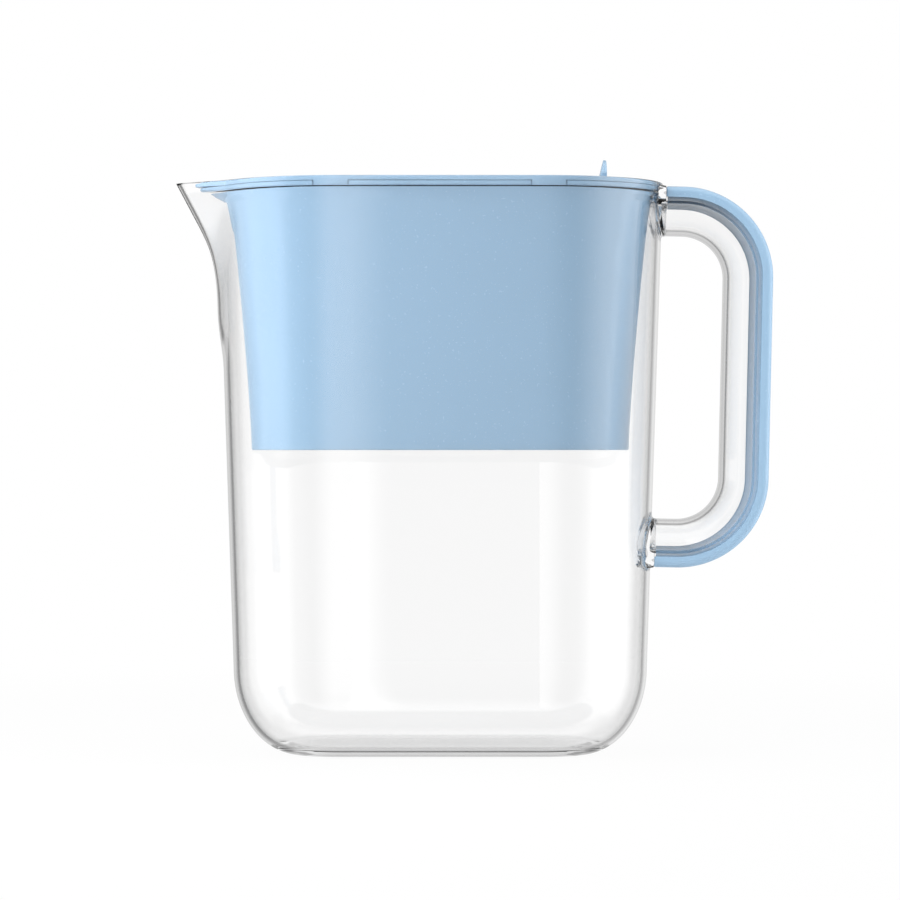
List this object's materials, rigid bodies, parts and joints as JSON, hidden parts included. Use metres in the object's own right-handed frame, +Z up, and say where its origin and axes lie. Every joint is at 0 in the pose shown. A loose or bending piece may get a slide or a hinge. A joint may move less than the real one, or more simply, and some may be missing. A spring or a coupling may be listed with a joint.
{
  "type": "water filter pitcher",
  "caption": "Water filter pitcher: clear jug with spout and handle, lift-out coloured reservoir, filter cartridge in its well, lid and flip-up fill door with a thumb fin.",
  "frame": {"origin": "middle of the flat base, on the surface that the pitcher stands on", "axes": "+Z up, -X towards the spout, +X towards the handle, Y across"},
  "size_m": [0.2615, 0.1078, 0.261],
  "materials": {
    "clear_plastic": "clear, polished",
    "blue_plastic": "satin",
    "white_plastic": "satin",
    "seal_rubber": "matte",
    "screen_mesh": "woven",
    "carbon": "granular",
    "resin": "granular",
    "fleece": "matte"
  },
  "bodies": {
    "jug": {"pitcher_body": "clear_plastic", "handle_bar": "clear_plastic", "handle_grip": "blue_plastic"},
    "reservoir": {"reservoir": "blue_plastic", "filter_well": "blue_plastic"},
    "filter": {"filter_cup": "white_plastic", "filter_cap": "white_plastic", "filter_seal": "seal_rubber", "inlet_screen": "screen_mesh", "carbon_bed": "carbon", "resin_bed": "resin", "top_pad": "fleece", "divider_pad": "fleece", "outlet_screen": "screen_mesh"},
    "lid": {"lid": "blue_plastic"},
    "flip_lid": {"flip_lid": "blue_plastic"}
  },
  "joints": [
    {"name": "reservoir_lift", "type": "slide", "parent": "jug", "child": "reservoir", "axis": [0, 0, 1], "range_m": [0, 0.125]},
    {"name": "filter_lift", "type": "slide", "parent": "reservoir", "child": "filter", "axis": [0, 0, 1], "range_m": [0, 0.115]},
    {"name": "lid_lift", "type": "slide", "parent": "filter", "child": "lid", "axis": [0, 0, 1], "range_m": [0, 0.04]},
    {"name": "flip_lid_hinge", "type": "hinge", "parent": "lid", "child": "flip_lid", "pos_m": [0.012, 0, 0.2501], "axis": [0, -1, 0], "range_deg": [0, 100]}
  ]
}
